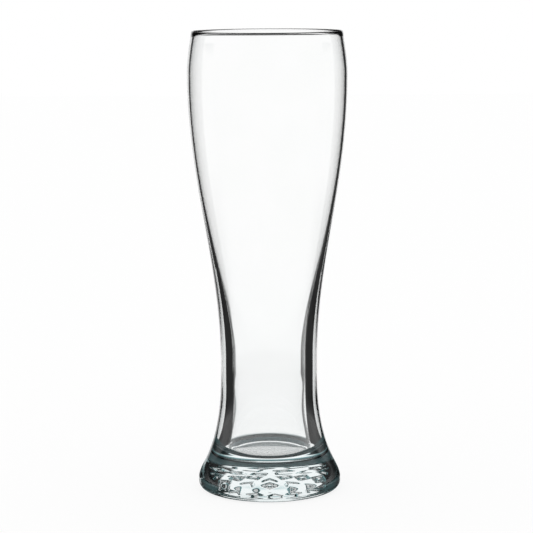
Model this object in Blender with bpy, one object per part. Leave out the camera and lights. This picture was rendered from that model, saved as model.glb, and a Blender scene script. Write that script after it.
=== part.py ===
"""Beer schooner: a tall, waisted, empty beer glass on a thick foot.

The real glass is one pressed and blown piece. It is modelled as the four zones that
its maker forms: foot, waist, bowl and rim. Each is turned about the upright axis, and
each sits on the one below at a flat joint that stands for continuous, fused glass.
Lengths are in metres, +Z is up, and the origin is the centre of the face it stands on.
"""

import math

import bmesh
import bpy

MM = 0.001

# Foot: the solid pressed base, hollowed a little underneath
FOOT_RADIUS = 33.0 * MM          # widest, round the upright edge
FOOT_HEIGHT = 12.0 * MM          # from the table to the joint with the waist
FOOT_TOP_RADIUS = 30.34 * MM     # at the joint with the waist
FOOT_EDGE_ROUND = 3.2 * MM       # rounding between the bearing ring and the edge
FOOT_EDGE_LAND = 1.9 * MM        # height of the upright edge above that rounding
BEARING_WIDTH = 6.5 * MM         # flat ring that the glass stands on
RECESS_DEPTH = 1.8 * MM          # hollow under the foot, at its centre
RECESS_SIDE = 1.2 * MM           # height of the hollow's steep side by the bearing ring

# Waist: the thick narrow part, with the closed inner floor
WAIST_HEIGHT = 48.3 * MM         # from the foot to the narrowest section
WAIST_RADIUS = 22.35 * MM        # outside, at the narrowest section
WAIST_WALL = 5.4 * MM            # wall at the narrowest section
FLOOR_THICKNESS = 3.6 * MM       # glass under the middle of the inner floor, above the joint
FLOOR_RADIUS = 19.5 * MM         # inside, just above the rounded edge of the floor
FLOOR_ROUND = 3.0 * MM           # rounding between the inner floor and the wall
FLOOR_DISH = 0.6 * MM            # how far the middle of the floor lies below its edge

# Bowl: the thin blown wall
BOWL_RISE = 131.7 * MM           # from the narrowest section to the widest
BOWL_RADIUS = 36.6 * MM          # outside, at the widest section
BOWL_WALL = 1.3 * MM             # wall at the widest section
MOUTH_RISE = 18.2 * MM           # from the widest section to the rim's seat
MOUTH_RADIUS = 34.8 * MM         # outside, at the rim's seat
MOUTH_WALL = 1.5 * MM            # wall at the rim's seat

# Rim: the fire-polished edge
RIM_HEIGHT = 1.5 * MM
RIM_SWELL = 0.04 * MM            # how far the edge swells beyond the wall, inside and out

# How far the outline leans where two stretches meet, as radius per unit of height
FLANK_LEAN = -0.50               # outside, where the foot meets the waist
WELL_LEAN = -0.25                # inside, just above the rounded edge of the floor
MOUTH_LEAN = -0.17               # inside and outside, at the rim's seat

# Flat joints between the zones, and the fineness of the turned shapes
FUSED_GAP = 0.3 * MM
TURN_STEPS = 48
MERGE_DISTANCE = 0.00001
SHARP_ANGLE = math.radians(35)

# Colours of the clear glass, greener where it is thick
THICK_GLASS = (0.70, 0.80, 0.81, 1.0)
CLEAR_GLASS = (0.90, 0.95, 0.95, 1.0)
GLASS_ROUGHNESS = 0.03
GLASS_IOR = 1.52

# Levels of the joints and of the widest section
foot_top = FOOT_HEIGHT
waist_base = foot_top + FUSED_GAP
waist_top = foot_top + WAIST_HEIGHT
bowl_base = waist_top + FUSED_GAP
widest_level = waist_top + BOWL_RISE
bowl_top = widest_level + MOUTH_RISE
rim_base = bowl_top + FUSED_GAP


def clear_scene():
    """Start from an empty scene."""
    for old in list(bpy.data.objects):
        bpy.data.objects.remove(old, do_unlink=True)


def glass(name, colour):
    """A clear glass material."""
    material = bpy.data.materials.new(name)
    material.use_nodes = True
    shader = material.node_tree.nodes["Principled BSDF"]
    shader.inputs["Base Color"].default_value = colour
    shader.inputs["Roughness"].default_value = GLASS_ROUGHNESS
    shader.inputs["Metallic"].default_value = 0.0
    shader.inputs["IOR"].default_value = GLASS_IOR
    shader.inputs["Transmission Weight"].default_value = 1.0
    return material


def bezier(start, first_handle, last_handle, end, count):
    """Points of a cubic curve through the (radius, height) plane, both ends included."""
    points = []
    for step in range(count + 1):
        t = step / count
        weights = ((1 - t) ** 3, 3 * t * (1 - t) ** 2, 3 * t ** 2 * (1 - t), t ** 3)
        corners = (start, first_handle, last_handle, end)
        radius = sum(weight * corner[0] for weight, corner in zip(weights, corners))
        height = sum(weight * corner[1] for weight, corner in zip(weights, corners))
        points.append((radius, height))
    return points


def sweep(low, high, count, low_lean=0.0, high_lean=0.0, low_ease=1 / 3, high_ease=1 / 3):
    """A smooth stretch of wall between two points, listed from the lower one up.

    An ease is how far the curve keeps its lean at that end, as a share of its height.
    """
    rise = high[1] - low[1]
    low_run = low_ease * rise
    high_run = high_ease * rise
    low_handle = (low[0] + low_lean * low_run, low[1] + low_run)
    high_handle = (high[0] - high_lean * high_run, high[1] - high_run)
    return bezier(low, low_handle, high_handle, high, count)


def arc(centre, across, up, first_angle, last_angle, count):
    """Points round part of an ellipse, both ends included; angles are in degrees."""
    points = []
    for step in range(count + 1):
        angle = math.radians(first_angle + (last_angle - first_angle) * step / count)
        points.append((centre[0] + across * math.cos(angle), centre[1] + up * math.sin(angle)))
    return points


def without_repeats(points):
    """The same outline with points that coincide with the one before left out."""
    kept = [points[0]]
    for point in points[1:]:
        if math.dist(point, kept[-1]) > MERGE_DISTANCE:
            kept.append(point)
    return kept


def turned(name, outline, material, closed):
    """A solid of revolution: the outline runs down its outer side and is turned about Z."""
    outline = without_repeats(outline)
    shape = bmesh.new()
    corners = [shape.verts.new((radius, 0.0, height)) for radius, height in outline]
    lines = [shape.edges.new(pair) for pair in zip(corners, corners[1:])]
    if closed:
        lines.append(shape.edges.new((corners[-1], corners[0])))
    bmesh.ops.spin(
        shape, geom=corners + lines, cent=(0, 0, 0), axis=(0, 0, 1),
        angle=2 * math.pi, steps=TURN_STEPS, use_merge=True)
    bmesh.ops.remove_doubles(shape, verts=shape.verts, dist=MERGE_DISTANCE)
    bmesh.ops.recalc_face_normals(shape, faces=shape.faces)

    mesh = bpy.data.meshes.new(name)
    shape.to_mesh(mesh)
    shape.free()
    mesh.shade_smooth()
    mesh.set_sharp_from_angle(angle=SHARP_ANGLE)
    mesh.materials.append(material)
    piece = bpy.data.objects.new(name, mesh)
    bpy.context.collection.objects.link(piece)
    return piece


def foot():
    """The solid base: flat joint on top, flank, upright edge, bearing ring and hollow."""
    edge_top = FOOT_EDGE_ROUND + FOOT_EDGE_LAND
    bearing_outer = FOOT_RADIUS - FOOT_EDGE_ROUND
    bearing_inner = bearing_outer - BEARING_WIDTH
    flank = sweep(
        (FOOT_RADIUS, edge_top), (FOOT_TOP_RADIUS, foot_top), 6,
        high_lean=FLANK_LEAN, low_ease=0.295, high_ease=0.05)
    round_centre = (bearing_outer, FOOT_EDGE_ROUND)
    edge_round = arc(round_centre, FOOT_EDGE_ROUND, FOOT_EDGE_ROUND, 0, -90, 5)
    hollow = bezier(
        (bearing_inner, 0.0), (bearing_inner - RECESS_SIDE, RECESS_SIDE),
        (bearing_inner / 2, RECESS_DEPTH), (0.0, RECESS_DEPTH), 6)
    outline = [(0.0, foot_top)] + flank[::-1] + edge_round + hollow
    return turned("foot", outline, glass("foot glass", THICK_GLASS), closed=False)


def waist():
    """The thick narrow wall with the inner floor, open at the top."""
    floor_level = waist_base + FLOOR_THICKNESS
    floor_edge = floor_level + FLOOR_DISH
    floor = bezier(
        (0.0, floor_level), (FLOOR_RADIUS / 3, floor_level),
        (FLOOR_RADIUS / 2, floor_edge), (FLOOR_RADIUS - FLOOR_ROUND, floor_edge), 4)
    round_centre = (FLOOR_RADIUS - FLOOR_ROUND, floor_edge + FLOOR_ROUND)
    corner = arc(round_centre, FLOOR_ROUND, FLOOR_ROUND, -90, 0, 5)
    inside = sweep(
        (FLOOR_RADIUS, floor_edge + FLOOR_ROUND), (WAIST_RADIUS - WAIST_WALL, waist_top), 8,
        low_lean=WELL_LEAN, low_ease=0.40, high_ease=0.50)
    outside = sweep(
        (FOOT_TOP_RADIUS, waist_base), (WAIST_RADIUS, waist_top), 10,
        low_lean=FLANK_LEAN, low_ease=0.355, high_ease=0.24)
    outline = floor + corner + inside + outside[::-1] + [(0.0, waist_base)]
    return turned("waist", outline, glass("waist glass", THICK_GLASS), closed=False)


def bowl():
    """The thin wall from the narrowest section up to the rim's seat, open at both ends."""
    outside = sweep(
        (WAIST_RADIUS, bowl_base), (BOWL_RADIUS, widest_level), 12,
        low_ease=0.357, high_ease=0.38)
    outside += sweep(
        (BOWL_RADIUS, widest_level), (MOUTH_RADIUS, bowl_top), 5,
        high_lean=MOUTH_LEAN, low_ease=0.11, high_ease=0.62)
    inside = sweep(
        (WAIST_RADIUS - WAIST_WALL, bowl_base), (BOWL_RADIUS - BOWL_WALL, widest_level), 12,
        low_ease=0.24, high_ease=0.43)
    inside += sweep(
        (BOWL_RADIUS - BOWL_WALL, widest_level), (MOUTH_RADIUS - MOUTH_WALL, bowl_top), 5,
        high_lean=MOUTH_LEAN, low_ease=0.11, high_ease=0.62)
    return turned("bowl", outside[::-1] + inside, glass("bowl glass", CLEAR_GLASS), closed=True)


def rim():
    """The rounded edge: an upright ellipse in section, cut flat where it sits on the wall."""
    half_width = MOUTH_WALL / 2 + RIM_SWELL
    seat_angle = math.acos(MOUTH_WALL / 2 / half_width)
    half_height = RIM_HEIGHT / (1 + math.sin(seat_angle))
    centre = (MOUTH_RADIUS - MOUTH_WALL / 2, rim_base + RIM_HEIGHT - half_height)
    seat_degrees = math.degrees(seat_angle)
    outline = arc(centre, half_width, half_height, 180 + seat_degrees, -seat_degrees, 10)
    return turned("rim", outline, glass("rim glass", CLEAR_GLASS), closed=True)


def main():
    clear_scene()
    foot()
    waist()
    bowl()
    rim()


main()
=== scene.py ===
"""Beer schooner: one clear glass, its studio set and its camera.

The file is laid out as a Blender add-on and is run as a script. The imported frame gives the
outer sizes. The glass is turned as one unbroken shell, which stands for the frame's four solids.
"""

import math

import bmesh
import bpy
from mathutils import Matrix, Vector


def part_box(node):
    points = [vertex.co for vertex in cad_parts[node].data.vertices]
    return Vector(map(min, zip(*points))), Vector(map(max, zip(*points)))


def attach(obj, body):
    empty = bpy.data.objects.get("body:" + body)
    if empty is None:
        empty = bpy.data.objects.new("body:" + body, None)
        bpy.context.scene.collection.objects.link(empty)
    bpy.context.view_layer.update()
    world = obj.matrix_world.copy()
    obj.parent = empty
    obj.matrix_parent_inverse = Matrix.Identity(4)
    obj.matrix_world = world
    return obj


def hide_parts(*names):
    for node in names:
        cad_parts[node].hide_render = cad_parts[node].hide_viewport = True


bl_info = {
    "name": "Beer schooner",
    "version": (1, 0, 0),
    "blender": (4, 5, 0),
    "location": "3D View > Sidebar > Schooner",
    "description": "Turns a clear beer schooner and sets it up in a bright studio",
    "category": "Object",
}

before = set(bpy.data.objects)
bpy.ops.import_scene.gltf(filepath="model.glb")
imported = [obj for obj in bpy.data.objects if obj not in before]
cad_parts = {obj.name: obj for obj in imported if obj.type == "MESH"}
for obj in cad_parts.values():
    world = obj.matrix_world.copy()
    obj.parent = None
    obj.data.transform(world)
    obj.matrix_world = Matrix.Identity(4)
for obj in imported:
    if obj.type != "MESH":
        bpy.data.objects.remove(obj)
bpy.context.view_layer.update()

MM = 0.001
RIM_START_DROP = 1.0 * MM        # the edge begins to round this far below the bowl's top

# Sizes that the frame's solids give
foot_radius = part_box("foot")[1][0]
foot_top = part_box("foot")[1][2]
foot_top_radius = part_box("waist")[1][0]
waist_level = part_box("waist")[1][2]
bowl_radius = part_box("bowl")[1][0]
mouth_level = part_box("bowl")[1][2] - RIM_START_DROP
rim_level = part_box("rim")[1][2]

# How finely the glass is turned
TURN_STEPS = 192
MERGE_DISTANCE = 0.000001
SHARP_ANGLE = math.radians(38)

# How far the outline leans where two stretches meet, as radius per unit of height
FLANK_LEAN = -0.50
WELL_LEAN = -0.25
MOUTH_LEAN = -0.17

# How far each stretch keeps its lean at its lower and its upper end, as shares of its height
INNER_WAIST_EASES = (0.40, 0.50)
INNER_BOWL_EASES = (0.24, 0.43)
FLANK_EASES = (0.295, 0.05)
OUTER_WAIST_EASES = (0.355, 0.24)
OUTER_BOWL_EASES = (0.357, 0.38)
MOUTH_EASES = (0.11, 0.62)

# Number of steps along each stretch of the outline
FLOOR_STEPS = 10
ROUNDING_STEPS = 10
INNER_WAIST_STEPS = 24
OUTER_WAIST_STEPS = 34
BOWL_STEPS = 44
MOUTH_STEPS = 12
RIM_STEPS = 18
FLANK_STEPS = 12
RECESS_STEPS = 40

# Moulded marks under the foot: each ring's radius and how many marks it has
RELIEF_RINGS = ((16.8 * MM, 14), (10.8 * MM, 9), (5.0 * MM, 5))
RELIEF_TURN = 0.75               # how far the rings are turned, as a share of the spacing
MARK_HALF_LENGTH = 3.2 * MM
MARK_HALF_WIDTH = 2.6 * MM
LOZENGE_HOLE = 0.6               # size of a lozenge's hollow middle, as a share of the lozenge
CHEVRON_HALF_STROKE = 0.45 * MM
CHEVRON_DROP = 1.0 * MM          # how far a chevron's point lies inside its ring
RECESS_HEADROOM = 1.0 * MM       # how far above the recess its points are looked for

# Stage
FLOOR_DROP = 0.1 * MM            # the floor lies this far below the glass
SENSOR_WIDTH = 36


def length(name, description, default):
    """A length that the user can change, in metres."""
    return bpy.props.FloatProperty(
        name=name, description=description, default=default, min=0.0,
        subtype="DISTANCE", unit="LENGTH", precision=5)


def angle(name, description, degrees):
    """An angle that the user can change."""
    return bpy.props.FloatProperty(
        name=name, description=description, default=math.radians(degrees),
        subtype="ANGLE", unit="ROTATION")


def amount(name, description, default):
    """A plain number that the user can change."""
    return bpy.props.FloatProperty(name=name, description=description, default=default, min=0.0)


def colour(name, description, default):
    """A colour that the user can change."""
    return bpy.props.FloatVectorProperty(
        name=name, description=description, default=default, size=3,
        min=0.0, max=1.0, subtype="COLOR")


class SchoonerGlassSettings(bpy.types.PropertyGroup):
    """Sizes and colour of the glass."""

    foot_radius: length("Foot radius", "Widest, round the upright edge", foot_radius)
    foot_top: length("Foot height", "From the table to the waist", foot_top)
    foot_top_radius: length("Foot top radius", "Outside, where the waist begins", foot_top_radius)
    foot_round: length("Foot rounding", "Between bearing ring and edge", 3.2 * MM)
    foot_land: length("Foot land", "Height of the upright edge", 1.9 * MM)
    bearing_width: length("Bearing width", "Flat ring that the glass stands on", 6.5 * MM)
    recess_depth: length("Recess depth", "Hollow under the foot, at its centre", 1.8 * MM)
    recess_side: length("Recess side", "Height of the hollow's steep side", 1.2 * MM)
    relief_height: length("Relief height", "How far the moulded marks stand out", 0.6 * MM)
    waist_level: length("Waist level", "Height of the narrowest section", waist_level)
    waist_radius: length("Waist radius", "Outside, at the narrowest section", 22.35 * MM)
    waist_wall: length("Waist wall", "Wall at the narrowest section", 5.4 * MM)
    floor_level: length("Inner floor", "Height of the middle of the inner floor", 15.9 * MM)
    floor_radius: length("Inner floor radius", "Inside, above the rounded corner", 19.5 * MM)
    floor_round: length("Inner floor rounding", "Between inner floor and wall", 3.6 * MM)
    floor_dish: length("Inner floor dish", "How far its middle lies below its edge", 0.6 * MM)
    bowl_radius: length("Bowl radius", "Outside, at the widest section", bowl_radius)
    bowl_level: length("Bowl level", "Height of the widest section", 192.0 * MM)
    bowl_wall: length("Bowl wall", "Wall at the widest section", 1.3 * MM)
    mouth_level: length("Mouth level", "Height where the edge begins to round", mouth_level)
    mouth_radius: length("Mouth radius", "Outside, where the edge begins to round", 34.8 * MM)
    mouth_wall: length("Mouth wall", "Wall where the edge begins to round", 1.5 * MM)
    rim_level: length("Rim level", "Height of the whole glass", rim_level)
    tint: colour("Tint", "Colour of light after a long way through the glass", (0.82, 0.93, 0.945))
    tint_density: amount("Tint density", "How soon the tint shows, per metre", 8.0)


class SchoonerStageSettings(bpy.types.PropertyGroup):
    """Studio set and camera."""

    floor_size: length("Floor size", "From the glass to the floor's edge", 3.0)
    floor_colour: colour("Floor colour", "Pale studio floor", (0.98, 0.98, 0.98))
    shadow: bpy.props.FloatProperty(
        name="Floor shadow", description="Share of the floor's own shading that shows",
        default=0.15, min=0.0, max=1.0, subtype="FACTOR")
    set_turn: angle("Set turn", "How far the set is turned to the left of the camera", 2.5)
    backdrop: angle("Backdrop", "Half the width of each white backdrop", 22.0)
    rear_backdrop: angle("Rear backdrop", "The same, for the one behind the glass", 10.0)
    mirrored_backdrop: angle("Mirrored backdrop", "The same, as the walls mirror that one", 21.5)
    rear_sweep: angle("Rear sweep", "The same, where that one runs out over the floor", 26.0)
    upper_backdrop: angle("Upper backdrop", "The same, above the horizon", 36.0)
    shade_tint: colour("Shade tint", "Cool colour of ceiling and shaded parts", (0.50, 0.89, 0.93))
    camera_aside: bpy.props.FloatProperty(
        name="Camera aside", description="To the right of the glass", default=-0.87 * MM,
        subtype="DISTANCE", unit="LENGTH", precision=5)
    camera_distance: length("Camera distance", "In front of the glass", 0.9123)
    camera_height: length("Camera height", "Above the table", 0.2385)
    camera_pitch: angle("Camera pitch", "How far the camera looks down", 8.40)
    camera_roll: angle("Camera roll", "How far the camera is tipped", -0.346)
    camera_lens: bpy.props.FloatProperty(
        name="Camera lens", description="Focal length on a 36 mm sensor", default=134.9,
        subtype="DISTANCE_CAMERA", unit="CAMERA")


# Outline of the glass


def curve(start, first_handle, last_handle, end, count):
    """Points of a cubic curve through the (radius, height) plane, both ends included."""
    points = []
    for step in range(count + 1):
        t = step / count
        weights = ((1 - t) ** 3, 3 * t * (1 - t) ** 2, 3 * t ** 2 * (1 - t), t ** 3)
        corners = (start, first_handle, last_handle, end)
        points.append(tuple(
            sum(weight * corner[axis] for weight, corner in zip(weights, corners)) for axis in (0, 1)))
    return points


def sweep(low, high, count, eases, low_lean=0.0, high_lean=0.0):
    """A smooth stretch of wall between two points, listed from the lower one up."""
    low_run, high_run = (ease * (high[1] - low[1]) for ease in eases)
    low_handle = (low[0] + low_lean * low_run, low[1] + low_run)
    high_handle = (high[0] - high_lean * high_run, high[1] - high_run)
    return curve(low, low_handle, high_handle, high, count)


def arc(centre, across, up, first_angle, last_angle, count):
    """Points round part of an ellipse, both ends included; angles are in degrees."""
    points = []
    for step in range(count + 1):
        turn = math.radians(first_angle + (last_angle - first_angle) * step / count)
        points.append((centre[0] + across * math.cos(turn), centre[1] + up * math.sin(turn)))
    return points


def inner_outline(size):
    """From the middle of the inner floor up the inside to the rim."""
    floor_edge = size.floor_level + size.floor_dish
    corner_radius = size.floor_radius - size.floor_round
    corner_top = floor_edge + size.floor_round
    waist = (size.waist_radius - size.waist_wall, size.waist_level)
    widest = (size.bowl_radius - size.bowl_wall, size.bowl_level)
    mouth = (size.mouth_radius - size.mouth_wall, size.mouth_level)
    outline = curve(
        (0.0, size.floor_level), (size.floor_radius / 3, size.floor_level),
        (size.floor_radius / 2, floor_edge), (corner_radius, floor_edge), FLOOR_STEPS)
    outline += arc(
        (corner_radius, corner_top), size.floor_round, size.floor_round, -90, 0, ROUNDING_STEPS)
    outline += sweep(
        (size.floor_radius, corner_top), waist, INNER_WAIST_STEPS, INNER_WAIST_EASES,
        low_lean=WELL_LEAN)
    outline += sweep(waist, widest, BOWL_STEPS, INNER_BOWL_EASES)
    outline += sweep(widest, mouth, MOUTH_STEPS, MOUTH_EASES, high_lean=MOUTH_LEAN)
    return outline


def rim_outline(size):
    """Over the fire-polished edge, from the inside to the outside: half an upright ellipse."""
    half_wall = size.mouth_wall / 2
    centre = (size.mouth_radius - half_wall, size.mouth_level)
    return arc(centre, half_wall, size.rim_level - size.mouth_level, 180, 0, RIM_STEPS)


def outer_outline(size):
    """From the rim down the outside to the rounded edge of the foot."""
    edge_top = size.foot_round + size.foot_land
    joint = (size.foot_top_radius, size.foot_top)
    waist = (size.waist_radius, size.waist_level)
    widest = (size.bowl_radius, size.bowl_level)
    mouth = (size.mouth_radius, size.mouth_level)
    outline = sweep(
        (size.foot_radius, edge_top), joint, FLANK_STEPS, FLANK_EASES, high_lean=FLANK_LEAN)
    outline += sweep(joint, waist, OUTER_WAIST_STEPS, OUTER_WAIST_EASES, low_lean=FLANK_LEAN)
    outline += sweep(waist, widest, BOWL_STEPS, OUTER_BOWL_EASES)
    outline += sweep(widest, mouth, MOUTH_STEPS, MOUTH_EASES, high_lean=MOUTH_LEAN)
    return outline[::-1]


def foot_outline(size):
    """Round the foot's edge, over the bearing ring and in to the middle of the recess."""
    bearing_outer = size.foot_radius - size.foot_round
    bearing_inner = bearing_outer - size.bearing_width
    outline = arc(
        (bearing_outer, size.foot_round), size.foot_round, size.foot_round, 0, -90,
        ROUNDING_STEPS)
    outline += [((bearing_outer + bearing_inner) / 2, 0.0)]
    outline += curve(
        (bearing_inner, 0.0), (bearing_inner - size.recess_side, size.recess_side),
        (bearing_inner / 2, size.recess_depth), (0.0, size.recess_depth),
        RECESS_STEPS)
    return outline


def glass_outline(size):
    """The whole section of the glass, without points that coincide."""
    points = inner_outline(size) + rim_outline(size) + outer_outline(size) + foot_outline(size)
    outline = [points[0]]
    for point in points[1:]:
        if math.dist(point, outline[-1]) > 5 * MERGE_DISTANCE:
            outline.append(point)
    return outline


# Modelling


def start_piece(name):
    """Add a plane, merge it to one point at the origin and stay in edit mode."""
    bpy.ops.object.select_all(action="DESELECT")
    bpy.ops.mesh.primitive_plane_add(size=MM, location=(0, 0, 0))
    piece = bpy.context.object
    piece.name = name
    piece.data.name = name
    bpy.ops.object.mode_set(mode="EDIT")
    bpy.ops.mesh.select_mode(type="VERT")
    bpy.ops.mesh.select_all(action="SELECT")
    bpy.ops.mesh.merge(type="CENTER")
    return piece


def draw_outline(outline):
    """Move the selected point to the outline's start and extrude it along the outline."""
    radius, height = outline[0]
    bpy.ops.transform.translate(value=(radius, 0, height))
    for (radius, height), (next_radius, next_height) in zip(outline, outline[1:]):
        step = (next_radius - radius, 0, next_height - height)
        bpy.ops.mesh.extrude_region_move(TRANSFORM_OT_translate={"value": step})


def turn_outline():
    """Spin the outline about the upright axis and close the seam and the poles."""
    bpy.ops.mesh.select_all(action="SELECT")
    bpy.ops.mesh.spin(steps=TURN_STEPS, angle=2 * math.pi, center=(0, 0, 0), axis=(0, 0, 1))
    bpy.ops.mesh.select_all(action="SELECT")
    bpy.ops.mesh.remove_doubles(threshold=MERGE_DISTANCE)
    bpy.ops.mesh.normals_make_consistent(inside=False)


def select_points(piece, wanted):
    """Select the points whose place passes the test, and what they bound."""
    bpy.ops.mesh.select_all(action="DESELECT")
    shape = bmesh.from_edit_mesh(piece.data)
    for point in shape.verts:
        point.select = wanted(point.co)
    shape.select_flush(True)
    bmesh.update_edit_mesh(piece.data)


def on_relief(place):
    """Whether a place under the foot lies on a moulded mark: rings of lozenges and chevrons."""
    radius = math.hypot(place.x, place.y)
    for ring_radius, count in RELIEF_RINGS:
        spacing = 2 * math.pi / count
        steps = math.atan2(place.y, place.x) / spacing - RELIEF_TURN
        mark = round(steps)
        turn = (steps - mark) * spacing
        outward = radius * math.cos(turn) - ring_radius
        along = abs(radius * math.sin(turn))
        reach = along / MARK_HALF_LENGTH + abs(outward) / MARK_HALF_WIDTH
        on_lozenge = LOZENGE_HOLE < reach < 1.0
        from_chevron = abs(outward - along + CHEVRON_DROP)
        on_chevron = along < MARK_HALF_WIDTH and from_chevron < CHEVRON_HALF_STROKE
        if on_lozenge if mark % 2 else on_chevron:
            return True
    return False


def mould_relief(piece, size):
    """Raise the moulded marks in the recess under the foot."""
    recess_radius = size.foot_radius - size.foot_round - size.bearing_width
    field_radius = recess_radius - 2 * size.recess_side

    def in_recess(place):
        low = place.z < size.recess_depth + RECESS_HEADROOM
        return low and math.hypot(place.x, place.y) < field_radius

    select_points(piece, in_recess)
    bpy.ops.mesh.subdivide(number_cuts=1)
    select_points(piece, lambda place: in_recess(place) and on_relief(place))
    bpy.ops.transform.translate(value=(0, 0, -size.relief_height))
    select_points(piece, in_recess)
    bpy.ops.mesh.vertices_smooth(factor=0.5, repeat=2)


# Shader nodes


class Flow:
    """A number in a node tree. Arithmetic on it adds Math nodes."""

    def __init__(self, nodes, socket):
        self.nodes = nodes
        self.socket = socket

    def maths(self, operation, first, second=0.0):
        node = self.nodes.add("ShaderNodeMath", {"operation": operation}, {0: first, 1: second})
        return Flow(self.nodes, node.outputs[0])

    def __add__(self, other):
        return self.maths("ADD", self, other)

    def __radd__(self, other):
        return self.maths("ADD", other, self)

    def __sub__(self, other):
        return self.maths("SUBTRACT", self, other)

    def __rsub__(self, other):
        return self.maths("SUBTRACT", other, self)

    def __mul__(self, other):
        return self.maths("MULTIPLY", self, other)

    def __rmul__(self, other):
        return self.maths("MULTIPLY", other, self)

    def __truediv__(self, other):
        return self.maths("DIVIDE", self, other)

    def __gt__(self, other):
        return self.maths("GREATER_THAN", self, other)

    def __lt__(self, other):
        return self.maths("LESS_THAN", self, other)

    def __abs__(self):
        return self.maths("ABSOLUTE", self)

    def least(self, other):
        return self.maths("MINIMUM", self, other)

    def most(self, other):
        return self.maths("MAXIMUM", self, other)

    def root(self):
        return self.maths("SQRT", self)

    def rise(self, low, high):
        """Goes smoothly from 0 to 1 as the number goes from low to high."""
        node = self.nodes.add(
            "ShaderNodeMapRange", {"interpolation_type": "SMOOTHSTEP"},
            {"Value": self, "From Min": low, "From Max": high})
        return Flow(self.nodes, node.outputs["Result"])


class Nodes:
    """The node tree of a material or a world."""

    def __init__(self, owner):
        owner.use_nodes = True
        self.tree = owner.node_tree

    def __getitem__(self, name):
        return self.tree.nodes[name]

    def add(self, kind, settings=None, inputs=None):
        """Any node: its type, its settings, then the values or links of its sockets."""
        node = self.tree.nodes.new(kind)
        for name, setting in (settings or {}).items():
            setattr(node, name, setting)
        for name, value in (inputs or {}).items():
            self.feed(node.inputs[name], value)
        return node

    def feed(self, socket, value):
        """Link a flow or an output to a socket, or set the socket's own value."""
        if isinstance(value, Flow):
            value = value.socket
        if isinstance(value, bpy.types.NodeSocket):
            self.tree.links.new(value, socket)
        else:
            socket.default_value = value

    def place(self, kind):
        """X, Y and Z of a texture coordinate."""
        texture = self.add("ShaderNodeTexCoord")
        parts = self.add("ShaderNodeSeparateXYZ", inputs={0: texture.outputs[kind]})
        return [Flow(self, output) for output in parts.outputs]

    def light_path(self):
        """The outputs of Light Path by name."""
        node = self.add("ShaderNodeLightPath")
        return {output.name: Flow(self, output) for output in node.outputs}

    def blend_colours(self, factor, first, second):
        """The first colour where the factor is 0 and the second where it is 1."""
        node = self.add("ShaderNodeMix", {"data_type": "RGBA"}, {0: factor, 6: first, 7: second})
        return node.outputs[2]


def blend(first, second, factor):
    """The first number where the factor is 0 and the second where it is 1."""
    return first * (1 - factor) + second * factor


# Materials


def noise(nodes, scale, detail):
    """Cloudy noise fixed to the piece; the scale is in clouds per metre."""
    texture = nodes.add("ShaderNodeTexCoord")
    node = nodes.add("ShaderNodeTexNoise", inputs={
        "Vector": texture.outputs["Object"], "Scale": scale, "Detail": detail})
    return Flow(nodes, node.outputs["Fac"])


GLASS_IOR = 1.52
CLEAR = (1.0, 1.0, 1.0, 1.0)
CLOUDED = (0.992, 0.995, 0.992, 1.0)
CLOUD_NOISE = (60.0, 2.0)            # clouds per metre, then detail
CLOUD_RISE = (0.3, 0.7)
RIPPLE_NOISE = (90.0, 1.0)
RIPPLE_DEPTH = 0.01 * MM
SCUFF_NOISE = (700.0, 4.0)
SCUFF_RISE = (0.56, 0.64)
SCUFF_LEVELS = (2 * MM, 6 * MM)      # the scuffs fade out between these heights
SCUFF_ROUGHNESS = 0.12
WEAR_NOISE = (1100.0, 3.0)
WEAR_RISE = (0.3, 0.7)
WEAR_SHARES = (0.45, 0.75)           # least and most of the bearing ring that is matt
WORN_COLOUR = (0.36, 0.52, 0.56, 1.0)
WORN_ROUGHNESS = 0.8
RING_ROUGHNESS = 0.5
RING_INNER_MARGIN = 0.3 * MM         # the wear reaches past the bearing ring, inside and outside
RING_OUTER_MARGIN = 0.8 * MM
RING_LEVEL = 0.2 * MM                # and up to this height


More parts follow.
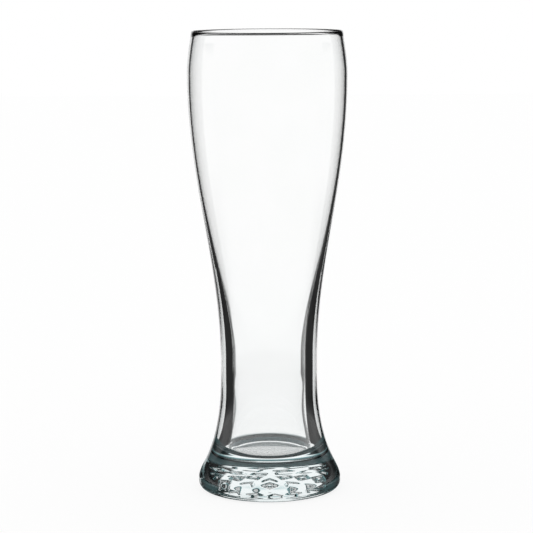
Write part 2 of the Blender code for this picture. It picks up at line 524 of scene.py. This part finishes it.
def clear_glass(size):
    """Clear soda-lime glass: a faint ripple, scuffs low on the foot and a worn bearing ring."""
    material = bpy.data.materials.new("clear glass")
    nodes = Nodes(material)
    shader = nodes["Principled BSDF"]
    shader.inputs["IOR"].default_value = GLASS_IOR
    shader.inputs["Transmission Weight"].default_value = 1.0

    x, y, z = nodes.place("Object")
    radius = (x * x + y * y).root()
    bearing_outer = size.foot_radius - size.foot_round
    bearing_inner = bearing_outer - size.bearing_width
    bearing_ring = (radius > bearing_inner - RING_INNER_MARGIN) * (z < RING_LEVEL)
    bearing_ring = bearing_ring * (radius < bearing_outer + RING_OUTER_MARGIN)
    foot_edge = (1 - z.rise(*SCUFF_LEVELS)) * (radius > bearing_outer)
    scuffs = noise(nodes, *SCUFF_NOISE).rise(*SCUFF_RISE) * foot_edge
    roughness = (bearing_ring * RING_ROUGHNESS).most(scuffs * SCUFF_ROUGHNESS)
    nodes.feed(shader.inputs["Roughness"], roughness)
    clouds = noise(nodes, *CLOUD_NOISE).rise(*CLOUD_RISE)
    nodes.feed(shader.inputs["Base Color"], nodes.blend_colours(clouds, CLEAR, CLOUDED))
    ripple = nodes.add("ShaderNodeBump", inputs={
        "Strength": 1.0, "Distance": RIPPLE_DEPTH, "Height": noise(nodes, *RIPPLE_NOISE)})
    nodes.feed(shader.inputs["Normal"], ripple.outputs["Normal"])

    matt = nodes.add("ShaderNodeBsdfPrincipled", inputs={
        "Base Color": WORN_COLOUR, "Roughness": WORN_ROUGHNESS})
    wear = noise(nodes, *WEAR_NOISE).rise(*WEAR_RISE)
    worn = nodes.add("ShaderNodeMixShader", inputs={
        0: bearing_ring * blend(*WEAR_SHARES, wear), 1: shader.outputs[0], 2: matt.outputs[0]})
    nodes.feed(nodes["Material Output"].inputs["Surface"], worn.outputs[0])
    absorption = nodes.add(
        "ShaderNodeVolumeAbsorption",
        inputs={"Color": (*size.tint, 1.0), "Density": size.tint_density})
    nodes.feed(nodes["Material Output"].inputs["Volume"], absorption.outputs[0])
    return material


# Studio set

# The glass stands in a bright field. What the camera sees directly, and what lights the floor,
# is plain white. Rays that the glass bends or reflects see white backdrops in four directions,
# black flags between them and a cool grey ceiling.
# No real set works like this: what such a ray sees also depends on how many surfaces it has
# crossed and how often it was reflected, and on the floor on how steeply it arrives. The numbers
# are tuned to the view of the photo.

FLAG_LIGHT = 0.02
LOW_FLAG_LIGHT = 0.09
FLAG_SOFTNESS = 0.04
SIDE_STRIP = (math.tan(math.radians(27)), math.tan(math.radians(37)))
CEILING_LIGHT = 0.34
REFLECTED_LIGHT = 0.9
OFTEN_REFLECTED_LIGHT = 0.08
MIRRORED_LIGHT = 0.95
MIRRORED_FLAG_LIGHT = 0.02
TINY = 0.000001

# Counts of crossings or reflections, set halfway between whole numbers
ONE_OR_MORE = 0.5
TWO_OR_MORE = 1.5
FOUR_OR_MORE = 3.5

# Flags as the outside of the glass mirrors them: the cosines, from straight behind, between which
# they darken, then the angles in degrees between which they give way to the backdrop there
CLOSE_MIRRORED_FLAGS = (-0.3, 0.2, 34, 26)
LEVEL_MIRRORED_FLAGS = (0.3, 0.8, 24, 20)
UPPER_MIRRORED_FLAGS = (-0.1, 0.3, 11, 6)

# World: steepness of a ray, as the Z of its direction, over which something rises or fades
LEVEL_MIRRORED_FADE = (0.05, 0.12)
UPPER_BACKDROP_RISE = (0.06, 0.36)
HORIZON_RISE = (-0.03, 0.0)
SIDE_SHADE_RISE = (0.14, 0.19)
CEILING_RISE = (0.36, 0.43)
LOW_FLAG_RISE = (0.03, 0.08)
LOW_FLAG_FADE = (0.17, 0.22)
HIGH_THROUGH_RISE = (0.3, 0.45)
UPPER_MIRRORED_RISE = (0.12, 0.16)
UPPER_MIRRORED_FADE = (0.34, 0.42)
ZENITH_RISE = (0.55, 0.75)
CEILING_DROP = 0.15              # the ceiling begins this much lower for rays not yet reflected
SIDE_SHADE = 0.7
ZENITH_SHADE = 0.85
HIGH_THROUGH_LIGHT = 0.55

# Floor: distance from the middle of the glass over which something rises or fades, in metres
SWEEP_FADE = (0.35, 0.6)
STEEP_SHIFT_RISE = (0.46, 0.55)
FAR_STRIP_RISE = (0.15, 0.25)
THROUGH_LIGHT_RISE = (0.22, 0.32)
LEVEL_MIRRORED_RISE = (0.3, 0.6)
MIRRORED_FOOT_FADE = (0.045, 0.06)
MIRRORED_BACKDROP_START = 0.3
STEEP_FLAG_START = 0.12
CALM_START = 0.12

# Floor: how low a ray comes in, from 0 for straight down to 1 for level
UNDER_RAYS = (0.02, 0.06)
CONTACT_RAYS = (0.55, 0.58)
MIDDLE_RAYS = (0.59, 0.62)
STEEP_RAYS = (0.64, 0.68)
SHUT_RAYS = (0.66, 0.74)
SHALLOW_RAYS = (0.74, 0.80)
LEVEL_RAYS = (0.88, 0.93)
STEEP_SHIFT = 0.106              # how much lower rays still count as steep far from the glass

# Floor: slant, from 0 straight behind or beside the glass to 1 halfway between
STRAIGHT_FADE = (0.2, 0.25)
ASIDE_RISE = (0.25, 0.35)
STEEP_FADE = (0.5, 0.6)
SHADE_SIDE_FADE = (0.75, 0.9)
CLOSE_STRIP_START = math.tan(math.radians(38))

# Floor: shade of the foot
CONTACT_FADE = (39.0 * MM, 39.7 * MM)
CONTACT_WIDENING = 1.6 * MM      # the contact shade is this much wider for steep rays
BENEATH_FADE = (35 * MM, 39 * MM)
RING_RISE = (25.5 * MM, 27.5 * MM)
HALO_FADE = (0.10, 0.13)
SHADE_FADE = (0.13, 0.16)
SHADE_REAR_FADE = (0.056, 0.078)
SHADE_REAR_BEND = 5              # how the shade's rear edge curves, per metre
CONTACT_LIGHT = 0.015
HALO_LIGHT = 0.32
LEVEL_HALO_LIGHT = 0.06
SHADE_LIGHT = 0.05
RECESS_LIGHT = 0.6
SHADE_COOLNESS = 0.4


class StudioView:
    """What rays see of the set, for the nodes of the world or of the floor."""

    def __init__(self, nodes, stage, x, y):
        turn = math.tan(stage.set_turn)
        self.nodes = nodes
        self.stage = stage
        self.x = x + y * turn
        self.y = y - x * turn
        self.across = abs(self.x)
        self.along = abs(self.y)
        self.slant = self.across.least(self.along) / self.across.most(self.along).most(TINY)
        self.away = self.y / (self.x * self.x + self.y * self.y).root().most(TINY)
        self.rearward = self.y > 0.0
        self.behind = self.rearward * (self.along > self.across)
        self.path = nodes.light_path()
        self.crossings = self.path["Transmission Depth"]
        self.reflections = self.path["Glossy Depth"]
        self.reflected = self.reflections > ONE_OR_MORE
        self.through = self.crossings > FOUR_OR_MORE

    def wall_flags(self, edge):
        """Black flags beyond a backdrop's edge, for rays that one wall has bent."""
        return (self.slant - edge).rise(-FLAG_SOFTNESS, FLAG_SOFTNESS)

    def through_flags(self, shut, start=SIDE_STRIP[0]):
        """Black flags, for rays that pass both walls: narrow strips, or all of it where shut."""
        end = SIDE_STRIP[1]
        half = FLAG_SOFTNESS / 2
        strip = (self.slant - start).rise(-half, half)
        gap = self.slant.rise(end - half, end + half)
        return strip * (1 - gap * (1 - shut))

    def flags(self, wall_flags, through_flags):
        """The flags for rays that one wall has bent, or those for rays that pass both."""
        return blend(wall_flags, through_flags, self.through)

    def mirrored_flags(self, start, end, gap_start, gap_end):
        """Black flags, as the outside mirrors them, with a gap for the backdrop behind."""
        gap = self.away.rise(math.cos(math.radians(gap_start)), math.cos(math.radians(gap_end)))
        return self.away.rise(start, end) * (1 - gap)

    def with_reflections(self, light, calm, through_light, mirrored_flags):
        """The same light, changed for rays that the glass has reflected, outside or inside."""
        light = blend(light, REFLECTED_LIGHT, calm * self.reflected * (1 - self.through))
        light = blend(light, OFTEN_REFLECTED_LIGHT, self.reflections > TWO_OR_MORE)
        light = blend(light, through_light, self.through * self.reflected)
        outside = self.path["Is Glossy Ray"] * (self.crossings < ONE_OR_MORE)
        mirrored = blend(MIRRORED_LIGHT, MIRRORED_FLAG_LIGHT, mirrored_flags)
        return blend(light, mirrored, outside)

    def colour(self, light, cool):
        """White or cool light of that strength, and plain white for all that is seen directly."""
        plain = self.path["Is Camera Ray"].most(self.path["Is Diffuse Ray"])
        cool = cool * (self.crossings > ONE_OR_MORE)
        tinted = self.nodes.blend_colours(cool, (1, 1, 1, 1), (*self.stage.shade_tint, 1))
        return self.nodes.blend_colours(blend(light, 1.0, plain), (0, 0, 0, 1), tinted)


def studio_world(stage):
    """The backdrops, flags and ceiling, all round."""
    world = bpy.data.worlds.new("studio")
    nodes = Nodes(world)
    x, y, z = nodes.place("Generated")
    view = StudioView(nodes, stage, x, y)
    mirrored_share = view.reflected * (1 - z.rise(*LEVEL_MIRRORED_FADE))
    rear = blend(math.tan(stage.rear_backdrop), math.tan(stage.mirrored_backdrop), mirrored_share)
    edge = blend(math.tan(stage.backdrop), rear, view.behind)
    edge = blend(edge, math.tan(stage.upper_backdrop), z.rise(*UPPER_BACKDROP_RISE))
    wall_flags = view.wall_flags(edge) * view.reflected.most(z.rise(*HORIZON_RISE))
    flags = view.flags(wall_flags, view.through_flags(view.rearward))
    beside = (view.across > view.along) * z.rise(*SIDE_SHADE_RISE) * SIDE_SHADE
    ceiling = (z + CEILING_DROP * (1 - view.reflected)).rise(*CEILING_RISE)
    low = z.rise(*LOW_FLAG_RISE) * (1 - z.rise(*LOW_FLAG_FADE)) * view.reflected
    flag_light = blend(FLAG_LIGHT, LOW_FLAG_LIGHT, low)
    light = blend(blend(1.0, flag_light, flags) * (1 - beside), CEILING_LIGHT, ceiling)
    calm = view.y < 0.0
    through_light = blend(REFLECTED_LIGHT, HIGH_THROUGH_LIGHT, z.rise(*HIGH_THROUGH_RISE))
    mirrored = blend(
        view.mirrored_flags(*LEVEL_MIRRORED_FLAGS), view.mirrored_flags(*UPPER_MIRRORED_FLAGS),
        z.rise(*UPPER_MIRRORED_RISE)) * (1 - z.rise(*UPPER_MIRRORED_FADE))
    light = view.with_reflections(light, calm, through_light, mirrored)
    zenith = z.rise(*ZENITH_RISE) * (1 - view.through * view.reflected)
    light = light * (1 - zenith * ZENITH_SHADE)
    cool = (flags * low).most(ceiling).most(beside)
    cool = cool * (1 - calm.most(view.through) * view.reflected)
    nodes.feed(nodes["Background"].inputs["Color"], view.colour(light, cool))
    return world


def foot_shade(view, x, y, distance, facing):
    """Where the floor is shaded by the foot, how light it is there and how cool."""
    steep = 1 - facing.rise(*CONTACT_RAYS)
    contact = 1 - (distance - steep * CONTACT_WIDENING).rise(*CONTACT_FADE)
    shallow = facing.rise(*SHALLOW_RAYS)
    wall_near = contact.most((1 - distance.rise(*HALO_FADE)) * (1 - view.reflected))
    halo_light = blend(HALO_LIGHT, LEVEL_HALO_LIGHT, facing.rise(*LEVEL_RAYS))
    wall_light = blend(blend(1.0, halo_light, shallow), CONTACT_LIGHT, contact)

    beneath = 1 - distance.rise(*BENEATH_FADE)
    through_near = 1 - (y - SHADE_REAR_BEND * x * x).rise(*SHADE_REAR_FADE)
    through_near = through_near * (1 - distance.rise(*SHADE_FADE))
    sides = view.behind * (1 - view.slant.rise(*SHADE_SIDE_FADE))
    through_near = through_near * sides.most(beneath)
    under = beneath * facing.rise(*UNDER_RAYS)
    through_light = blend(
        SHADE_LIGHT, blend(RECESS_LIGHT, 1.0, distance.rise(*RING_RISE)), under)

    near = blend(wall_near, through_near, view.through)
    light = blend(wall_light, through_light, view.through)
    cool = blend(shallow.most(contact), SHADE_COOLNESS * (1 - under), view.through)
    return near, light, cool


def floor_flags(view, stage, distance, facing):
    """Where bent and reflected rays find the floor black, below the flags."""
    rear = blend(math.tan(stage.rear_sweep), math.tan(stage.rear_backdrop), distance.rise(*SWEEP_FADE))
    mirrored_share = view.reflected * (distance > MIRRORED_BACKDROP_START)
    rear = blend(rear, math.tan(stage.mirrored_backdrop), mirrored_share)
    edge = blend(math.tan(stage.backdrop), rear, view.behind)
    wall_flags = view.wall_flags(edge) * view.reflected.most(facing.rise(*LEVEL_RAYS))

    middle = facing.rise(*MIDDLE_RAYS)
    steep = 1 - (facing - distance.rise(*STEEP_SHIFT_RISE) * STEEP_SHIFT).rise(*STEEP_RAYS)
    steep = steep * (1 - view.slant.rise(*STEEP_FADE)) * (distance > STEEP_FLAG_START)
    straight_behind = 1 - view.slant.rise(*STRAIGHT_FADE)
    steep = steep * straight_behind.most(view.slant.rise(*ASIDE_RISE) * middle) * view.rearward
    far = distance.rise(*FAR_STRIP_RISE)
    shut = view.rearward * (view.x > 0.0).most(facing.rise(*SHUT_RAYS))
    shut = shut.most((1 - far) * view.rearward * middle)
    strip_start = blend(CLOSE_STRIP_START, SIDE_STRIP[0], far)
    return view.flags(wall_flags, view.through_flags(shut, strip_start).most(steep))


def studio_floor(stage):
    """The table, which carries the foot of the backdrops and flags and the shade of the glass."""
    material = bpy.data.materials.new("studio floor")
    nodes = Nodes(material)
    matt = nodes["Principled BSDF"]
    matt.inputs["Base Color"].default_value = (*stage.floor_colour, 1.0)
    matt.inputs["Roughness"].default_value = 1.0
    matt.inputs["Specular IOR Level"].default_value = 0.0

    x, y = nodes.place("Object")[:2]
    view = StudioView(nodes, stage, x, y)
    distance = (x * x + y * y).root()
    layer_weight = nodes.add("ShaderNodeLayerWeight", inputs={"Blend": 0.5})
    facing = Flow(nodes, layer_weight.outputs["Facing"])
    flags = floor_flags(view, stage, distance, facing)
    near, near_light, near_cool = foot_shade(view, x, y, distance, facing)
    light = blend(blend(1.0, FLAG_LIGHT, flags), near_light, near)
    calm = (view.y < 0.0) * (distance > CALM_START)
    through_light = blend(
        OFTEN_REFLECTED_LIGHT, REFLECTED_LIGHT, distance.rise(*THROUGH_LIGHT_RISE))
    mirrored = blend(
        view.mirrored_flags(*CLOSE_MIRRORED_FLAGS), view.mirrored_flags(*LEVEL_MIRRORED_FLAGS),
        distance.rise(*LEVEL_MIRRORED_RISE)).most(1 - distance.rise(*MIRRORED_FOOT_FADE))
    light = view.with_reflections(light, calm, through_light, mirrored)
    cool = near * near_cool * (1 - calm * view.reflected)

    glow = nodes.add("ShaderNodeEmission", inputs={"Color": view.colour(light, cool)})
    seen = view.path["Is Camera Ray"] * (1 - stage.shadow)
    seen = seen.most(view.path["Is Transmission Ray"]).most(view.path["Is Glossy Ray"])
    mixed = nodes.add("ShaderNodeMixShader", inputs={
        0: seen, 1: matt.outputs[0], 2: glow.outputs[0]})
    nodes.feed(nodes["Material Output"].inputs["Surface"], mixed.outputs[0])
    return material


# Operators


class SCHOONER_OT_glass(bpy.types.Operator):
    """Turn the whole glass in one piece, with the moulded relief under its foot"""

    bl_idname = "schooner.glass"
    bl_label = "Make the glass"

    def execute(self, context):
        size = context.scene.schooner_glass
        glass = start_piece("glass")
        draw_outline(glass_outline(size))
        turn_outline()
        mould_relief(glass, size)
        bpy.ops.object.mode_set(mode="OBJECT")
        bpy.ops.object.shade_smooth_by_angle(angle=SHARP_ANGLE)
        glass.data.materials.append(clear_glass(size))
        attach(glass, "root")
        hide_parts("foot", "waist", "bowl", "rim")
        return {"FINISHED"}


class SCHOONER_OT_stage(bpy.types.Operator):
    """Lay the pale floor, set up the soft studio light and place the camera"""

    bl_idname = "schooner.stage"
    bl_label = "Set the stage"

    def execute(self, context):
        scene = context.scene
        stage = scene.schooner_stage
        bpy.ops.object.select_all(action="DESELECT")
        bpy.ops.mesh.primitive_plane_add(size=2 * stage.floor_size, location=(0, 0, -FLOOR_DROP))
        floor = context.object
        floor.name = "floor"
        floor.data.materials.append(studio_floor(stage))
        scene.world = studio_world(stage)
        scene.view_settings.view_transform = "Standard"

        bpy.ops.object.camera_add()
        camera = context.object
        look_down = Matrix.Rotation(math.pi / 2 - stage.camera_pitch, 4, "X")
        roll = Matrix.Rotation(stage.camera_roll, 4, "Z")
        place = (stage.camera_aside, -stage.camera_distance, stage.camera_height)
        camera.matrix_world = Matrix.Translation(place) @ look_down @ roll
        camera.data.sensor_width = SENSOR_WIDTH
        camera.data.lens = stage.camera_lens
        scene.camera = camera
        return {"FINISHED"}


class SCHOONER_PT_panel(bpy.types.Panel):
    """Lists the settings and what makes each piece"""

    bl_label = "Beer schooner"
    bl_idname = "SCHOONER_PT_panel"
    bl_space_type = "VIEW_3D"
    bl_region_type = "UI"
    bl_category = "Schooner"

    def draw(self, context):
        for settings, operator in (
                (context.scene.schooner_glass, SCHOONER_OT_glass),
                (context.scene.schooner_stage, SCHOONER_OT_stage)):
            box = self.layout.box()
            box.operator(operator.bl_idname)
            for name in settings.__annotations__:
                box.prop(settings, name)


CLASSES = (
    SchoonerGlassSettings,
    SchoonerStageSettings,
    SCHOONER_OT_glass,
    SCHOONER_OT_stage,
    SCHOONER_PT_panel,
)


def register():
    for each in CLASSES:
        bpy.utils.register_class(each)
    bpy.types.Scene.schooner_glass = bpy.props.PointerProperty(type=SchoonerGlassSettings)
    bpy.types.Scene.schooner_stage = bpy.props.PointerProperty(type=SchoonerStageSettings)


def unregister():
    del bpy.types.Scene.schooner_stage
    del bpy.types.Scene.schooner_glass
    for each in reversed(CLASSES):
        bpy.utils.unregister_class(each)


def main():
    register()
    bpy.ops.schooner.glass()
    bpy.ops.schooner.stage()


if __name__ == "__main__":
    main()
